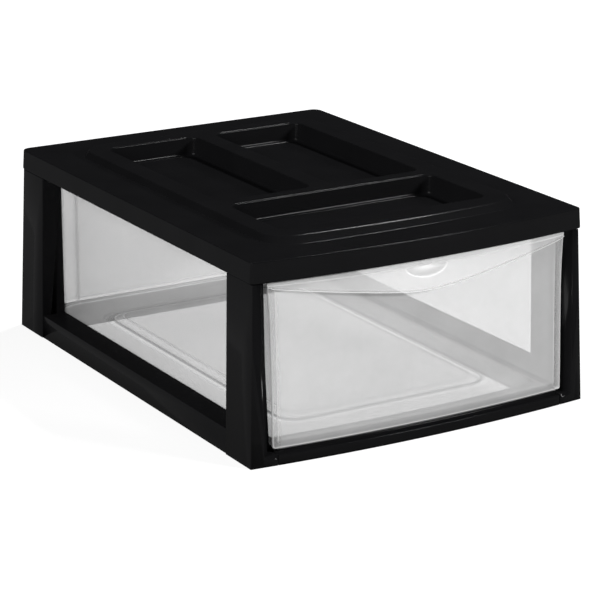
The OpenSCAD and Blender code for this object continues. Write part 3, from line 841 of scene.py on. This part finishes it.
@dataclass
class Tub:
    """The tub of the drawer: thin walls, a bowed front that laps out, and a panelled floor.

    Heights and depths start from the frame's node.
    """

    front: BowedFront
    panel: FloorPanel = FloorPanel()
    wall: float = 2.0
    floor: float = 2.2
    flange: float = 2.8             # how far the front laps out beyond the side walls
    flange_foot: float = 1.0        # height at which that begins
    flange_step: float = 0.8        # height within which it is reached
    flare: float = 2.2              # how much further it laps at the top
    flare_low: float = 88.0         # height at which that begins
    rear_corner: float = 30.0
    under_round: float = 2.6        # radius along the outer lower edge
    inner_round: float = 4.5        # radius along the foot of the walls
    rim_depth: float = 1.0          # height of the rounded rim
    band: float = 2.0               # width of the strips that keep a haze beside a corner
    edge_band: float = 1.0          # the same beside the upright edges of the front
    thin_edge: float = 0.2          # depth of the edge of the front where it doesn't lap out
    # how a lap goes back to the side wall, by the share of it that is left and the depth
    lap_back: tuple[Flat, ...] = ((0.3, 0.6), (0.0, 3.0))
    front_steps: int = 40
    corner_steps: int = 12
    wall_rows: int = 12
    # round the lower edge the haze paints a shade line between two lighter lines; those lighter
    # lines, like the ones of the rim, the upright edges, the lap and the rear corners below, are
    # partly the milkier plastic of these bends and partly painted highlight
    under_haze: tuple[float, ...] = (0.0, 0.4, 0.9, -0.9, 0.9, 0.1)    # along that lower edge
    foot_haze: tuple[float, ...] = (0.2, -0.4, -0.5, -0.5, -0.2, 0.3, 0.1)  # and that foot
    rim_haze: float = 0.8
    edge_haze: float = 0.8          # at the upright edges of the front
    beside_haze: float = -0.2       # just inside of them
    lap_haze: float = 0.5           # where the front laps round the side
    side_haze: float = -0.25        # side walls, which are the clearest
    back_haze: float = 0.2
    turn_haze: float = 0.12         # the rear corners themselves
    right_turn_haze: float = 0.4    # where the right one starts and ends
    left_turn_haze: float = 0.55    # where the left one does
    low: Vector = field(init=False)
    high: Vector = field(init=False)

    def __post_init__(self) -> None:
        """Takes the outer size of the drawer from the frame."""
        self.low, self.high = node_box("drawer")

    def plan(self, level: Level) -> list[Point]:
        """Gives the points of a level ring, always as many, from the front left on."""
        inset, z, lap, _ = level
        half, quarter, band = self.front.side - inset, math.pi / 2, self.band
        wide = half + lap
        across = [(wide - self.edge_band) * (2 * i / self.front_steps - 1)
                  for i in range(self.front_steps + 1)]
        front = [(x, self.front.place(x, z, inset)) for x in [-wide, *across, wide]]
        edge = front[-1][1] + (self.wall if lap else self.thin_edge)
        radius, rear = self.rear_corner - inset, self.high.y - inset
        reach, back = half - radius, rear - radius
        side = [(wide, edge),
                *((half + share * lap, edge + depth) for share, depth in self.lap_back),
                (half, back - band), (half, back)]
        ring = [*front, *side, *arc((reach, back), radius, 0, quarter, self.corner_steps),
                (reach - band, rear), (band - reach, rear), (-reach, rear),
                *arc((-reach, back), radius, quarter, 2 * quarter, self.corner_steps),
                *[(-x, y) for x, y in reversed(side[:-1])]]
        return [(x, y, z) for x, y in ring]

    def plan_haze(self, haze: float) -> list[float]:
        """Gives the haze of the points of a ring, higher at the tall corners, partly as painted
        highlight.

        Args:
            haze: Haze of the ring itself.

        Returns:
            One value for each point of plan.
        """
        edges = [self.edge_haze, self.beside_haze]
        front = [*edges, *[0.0] * (self.front_steps - 1), *reversed(edges)]
        side = [self.lap_haze, 0.0, self.side_haze, self.side_haze]
        turn = [self.turn_haze] * (self.corner_steps - 1)
        right, left = self.right_turn_haze, self.left_turn_haze
        extra = [*front, *side, right, *turn, right, self.back_haze, self.back_haze,
                 left, *turn, left, *reversed(side)]
        return [haze + more for more in extra]

    def lap(self, z: float) -> float:
        """Gives how far the front laps out beyond the side walls at the height z."""
        share = max(0.0, (z - self.flare_low) / (self.front.top - self.flare_low))
        return self.flange + self.flare * share ** 2

    def outer_levels(self, bottom: float) -> list[Level]:
        """Gives the rings of the outside, from the underside up to below the rim."""
        under, top, first = self.under_round, self.front.top - self.rim_depth, 0.8
        curve = bend((under, bottom), (0, bottom), (0, bottom + under), 5)
        lapped = [smooth_step((z - bottom - self.flange_foot) / self.flange_step) for _, z in curve]
        levels = [Level(inset, z, self.flange * share, haze)
                  for (inset, z), share, haze in zip(curve, lapped, self.under_haze)]
        low, rows = bottom + under, self.wall_rows
        heights = [low + first, *(low + (top - low) * i / rows for i in range(1, rows + 1))]
        return levels + [Level(0.0, z, self.lap(z), 0.0) for z in heights]

    def rim_levels(self) -> list[Level]:
        """Gives the rings over the rim, from the outside to the inside."""
        top, wall, haze, near, far = self.front.top, self.wall, self.rim_haze, 0.3, 0.9
        return [Level(near, top - near, self.lap(top), haze),
                Level(far, top, self.flange / 2, haze), Level(wall - far, top, 0.0, haze),
                Level(wall - near, top - near, 0.0, haze),
                Level(wall, top - self.rim_depth, 0.0, 0.0)]

    def foot_levels(self, floor: float) -> list[Level]:
        """Gives the rings of the inside, from above the foot of the walls to the flat floor."""
        wall, reach, above = self.wall, self.inner_round, 1.5
        curve = bend((wall, floor + reach), (wall, floor), (wall + reach, floor), 6)
        return [Level(wall, floor + reach + above, 0.0, 0.0),
                *(Level(inset, z, 0.0, haze) for (inset, z), haze in zip(curve, self.foot_haze)),
                Level(wall + reach + self.band, floor, 0.0, 0.0)]

    def build(self, material: bpy.types.Material) -> None:
        """Builds and dresses the tub.

        Args:
            material: Its finish.
        """
        skin, bottom, half_wall = Skin(), self.low.z, self.wall / 2
        floor = bottom + self.floor
        levels = [*self.outer_levels(bottom), *self.rim_levels(), *self.foot_levels(floor)]
        flats = levels[0], levels[-1]     # the floor is evenly hazy, above and below
        rings = [skin.ring(self.plan(level),
                           level.haze if level in flats else self.plan_haze(level.haze))
                 for level in levels]
        skin.loft(rings)
        skin.fill(rings[0], [self.panel.rings(skin, bottom, half_wall)[0]])
        skin.fill(rings[-1], [self.panel.rings(skin, floor, -half_wall)[0]])
        dress(skin.piece("drawer_tub"), material, Body.DRAWER, Slot.MILKY, "drawer")


@dataclass
class PullLip:
    """The rim along the top of the front, and the apron below it that the fingers pull."""

    front: BowedFront
    rim_side: float = 130.0         # end of the rim
    rim_out: float = 1.5            # how far the rim stands out from the front
    rim_fade: float = 0.7           # share of that which it loses towards its ends
    fade_from: float = 100.0        # distance from the middle where that begins
    fade_width: float = 30.0
    rim_sink: float = 0.6           # how far the rim reaches into the front
    rim_below: float = 1.0          # how far below the crease it does so
    top_round: float = 0.5
    crease_side: float = 133.4      # height where the rim turns into the lip, at the sides
    crease_sag: float = 1.8         # how much lower that is in the middle
    side: float = 125.0             # end of the sloping part of the lip
    upturn: float = 1.0             # how far the lower edge turns up beyond it
    middle: float = 113.8           # height of the lower edge in the middle
    rise: float = 0.165             # how steeply it rises towards the sides
    round: float = 26.0             # half-width of its rounded middle
    slope: float = math.tan(math.radians(14))
    thick: float = 1.6
    dimple_half: float = 18.0
    dimple_drop: float = 7.6
    dimple_deep: float = 1.7
    dimple_behind: float = 0.2      # share of its depth that its back keeps flat
    rows: int = 18
    # the rings round the crease, by height over it, and the haze that four of them add: a lighter
    # band that is partly the milkier plastic of the bend and partly painted highlight
    crease_steps: tuple[float, ...] = (0.9, 0.2, -0.2, -0.6)
    crease_haze: tuple[float, ...] = (0.1, 0.6, 0.5, 0.0)
    # the lower edge: where its bead starts, and then round it by depth and height
    bead_reach: float = 2.0
    bead_steps: tuple[float, ...] = (1.3, 0.7)
    bead_haze: tuple[float, ...] = (-0.2, -0.5)
    bead: tuple[Flat, ...] = ((-0.35, 0.5), (-0.2, 0.1), (0.8, -0.1), (1.95, 0.3))
    # the lower edge and the ring round the dimple get lighter lines, partly the milkier plastic of
    # these bends and partly painted highlight
    edge_haze: tuple[float, ...] = (0.9, 0.9, 0.9, 0.0)
    face_haze: float = -0.02
    back_haze: float = -0.3
    dimple_haze: float = 0.2        # along the edge of the dimple
    dimple_line: float = 0.07       # half-width of that line, as a share of the dimple

    def low(self, x: float) -> float:
        """Gives the height of the lower edge of the lip: a wide V that turns up at the ends."""
        end = self.upturn * smooth_step((abs(x) - self.side) / (self.rim_side - self.side))
        return self.middle + end + self.rise * (math.hypot(x, self.round) - self.round)

    def crease(self, x: float) -> float:
        """Gives the height where the rim turns into the lip."""
        share = min(1.0, abs(x) / self.front.side)
        return self.crease_side - self.crease_sag * math.cos(math.pi / 2 * share)

    def dimple_reach(self, x: float, z: float) -> float:
        """Gives how far a point is from the middle of the dimple, where 1 is its edge."""
        return math.hypot(x / self.dimple_half, max(0.0, self.crease(0) - z) / self.dimple_drop)

    def dimple(self, x: float, z: float) -> float:
        """Gives the depth of the bare half-oval dimple in the middle of the lip."""
        return self.dimple_deep * max(0.0, 1 - self.dimple_reach(x, z) ** 2)

    def face(self, x: float, z: float) -> float:
        """Gives the place of the outer face of the rim and the lip."""
        out = self.rim_out * (1 - self.rim_fade * smooth_step((abs(x) - self.fade_from)
                                                              / self.fade_width))
        out += max(0.0, self.crease(x) - z) * (self.slope + LEAN)
        return self.front.place(x, z) - out + self.dimple(x, z)

    def behind(self, x: float, z: float) -> float:
        """Gives the place of the inner face, which ends inside the front along the rim."""
        inner = self.face(x, z) + self.thick
        if z > self.crease(x) - self.rim_below:
            return min(inner, self.front.place(x, z) + self.rim_sink)
        return inner - self.dimple(x, z) * self.dimple_behind

    def haze(self, x: float, z: float) -> float:
        """Gives the haze of the face of the lip, higher round the edge of the dimple, partly as
        painted highlight.
        """
        near = max(0.0, 1 - abs(self.dimple_reach(x, z) - 1) / self.dimple_line)
        return self.face_haze + (self.dimple_haze * near if z < self.crease(x) else 0.0)

    def columns(self) -> list[float]:
        """Gives the places of the upright sections of the lip, closer at the dimple."""
        middle, fine, coarse = 24.0, 0.6, 2.0
        places = [fine * i for i in range(int(middle / fine) + 1)]
        count = math.ceil((self.rim_side - middle) / coarse)
        places += [middle + (self.rim_side - middle) * i / count for i in range(1, count + 1)]
        return [-x for x in reversed(places[1:])] + places

    def section(self, x: float) -> tuple[list[Point], list[float]]:
        """Gives the closed section of the rim and lip at a distance x from the middle.

        Args:
            x: The distance.

        Returns:
            The points of the section and the haze of each.
        """
        crease, low, top = self.crease(x), self.low(x), self.front.top
        heights = [top, top - self.top_round, *(crease + step for step in self.crease_steps)]
        start = heights[-1]
        heights += [start - (start - low - self.bead_reach) * i / self.rows
                    for i in range(1, self.rows + 1)]
        heights += [low + step for step in self.bead_steps]
        outer = [(x, self.face(x, z), z) for z in heights]
        outer[0] = (x, outer[0][1] + self.top_round, top)
        tip = self.face(x, low)
        edge = [(x, tip + depth, low + height) for depth, height in self.bead]
        back = [(x, self.behind(x, z), z) for z in reversed(heights)]
        added = (0.0, 0.0, *self.crease_haze)     # the two rings of the top edge come first
        haze = [self.haze(x, z) for z in heights]
        haze[:len(added)] = [value + more for value, more in zip(haze, added)]
        haze[-len(self.bead_haze):] = self.bead_haze
        return [*outer, *edge, *back], [*haze, *self.edge_haze, *[self.back_haze] * len(back)]

    def build(self, material: bpy.types.Material) -> None:
        """Builds and dresses the rim and the pull lip.

        Args:
            material: Its finish.
        """
        skin = Skin()
        rings = [skin.ring(*self.section(x)) for x in self.columns()]
        skin.loft(rings)
        skin.fill(rings[0])
        skin.fill(rings[-1])
        dress(skin.piece("drawer_pull_lip"), material, Body.DRAWER, Slot.MILKY, "drawer")


class Drawer:
    """The drawer: a tub, and a rim and pull lip on the same bowed front."""

    def __init__(self) -> None:
        """Gives both parts the same front."""
        front = BowedFront()
        self.tub, self.lip = Tub(front), PullLip(front)

    def build(self, material: bpy.types.Material) -> None:
        """Builds and dresses the whole drawer."""
        self.tub.build(material)
        self.lip.build(material)


# ---- studio --------------------------------------------------------------------------


@dataclass(frozen=True)
class SoftBox:
    """A rectangular lamp that shines at the middle of the box."""

    name: str
    place: Point                    # where it hangs, in metres
    size: Flat                      # its width and height, in metres
    power: float                    # in watts

    def hang(self, target: Vector) -> None:
        """Adds the lamp to the scene, turned towards target."""
        lamp = bpy.data.lights.new(self.name, "AREA")
        lamp.shape = "RECTANGLE"
        lamp.size, lamp.size_y = self.size
        lamp.energy = self.power
        holder = put_in_scene(self.name, lamp)
        holder.location = self.place
        holder.rotation_euler = (target - Vector(self.place)).to_track_quat("-Z", "Y").to_euler()


@dataclass(frozen=True)
class Studio:
    """The floor, the lamps and the camera."""

    lens: float = 147.95
    camera_place: Point = (-0.9633, -1.6297, 0.6496)
    camera_turn: float = -30.81     # degrees to the right of straight ahead
    camera_down: float = 17.52      # degrees below the horizon
    floor_half: float = 14.0
    floor_squares: int = 8
    world: str = "#2e2e2f"          # colour of the dim light of the room
    lamps: tuple[SoftBox, ...] = (
        # a narrow strip from above, for the fine lines along the rims of the lid
        SoftBox("rear_softbox", (0.98, 0.4, 1.78), (0.6, 0.1), 38.0),
        # a wide one that fills the side
        SoftBox("left_softbox", (-1.75, -0.55, 0.95), (1.0, 1.2), 41.0),
        # a small one that lights the drawer's front and draws the edges that face forwards
        SoftBox("front_softbox", (0.98, -1.62, 0.8), (0.35, 0.25), 32.0),
    )

    def camera(self) -> None:
        """Places the camera and makes it the scene's own."""
        data = bpy.data.cameras.new("camera")
        data.lens = self.lens
        holder = put_in_scene("camera", data)
        holder.location = self.camera_place
        holder.rotation_euler = (math.radians(90 - self.camera_down), 0,
                                 math.radians(self.camera_turn))
        bpy.context.scene.camera = holder

    def floor(self) -> None:
        """Lays the floor, which isn't part of the box."""
        mesh = bmesh.new()
        bmesh.ops.create_grid(mesh, x_segments=self.floor_squares,
                              y_segments=self.floor_squares, size=self.floor_half)
        sheet = as_object("floor", mesh)
        sheet.data.materials.append(PaleFloor().material())

    def light(self) -> None:
        """Hangs the lamps and sets the dim light of the room."""
        low, high = CAD_BOX
        for lamp in self.lamps:
            lamp.hang((low + high) / 2)
        world = bpy.data.worlds.new("studio")
        world.use_nodes = True
        world.node_tree.nodes["Background"].inputs["Color"].default_value = linear(self.world)
        bpy.context.scene.world = world
        bpy.context.scene.view_settings.view_transform = "Standard"

    def build(self) -> None:
        """Sets up the whole studio."""
        self.camera()
        self.floor()
        self.light()


def members() -> list[FrameMember]:
    """Lists the posts, rails and bars, of which the sill has the roundest edges."""
    posts = [FrameMember(f"{end}_{side}_post")
             for end in ("front", "rear") for side in ("left", "right")]
    return [*posts, FrameMember("left_rail"), FrameMember("right_rail"),
            FrameMember("front_sill", edge=1.2), FrameMember("rear_crossbar")]


def main() -> None:
    """Builds the studio, the black frame, the lid and the drawer, in that order."""
    logging.basicConfig(level=logging.INFO, format="%(message)s")
    Studio().build()
    black = MouldedPolypropylene().material()
    milky = TranslucentPolypropylene().material()
    for member in members():
        member.build(black)
    Lid().build(black)
    Drawer().build(milky)


if __name__ == "__main__":
    main()
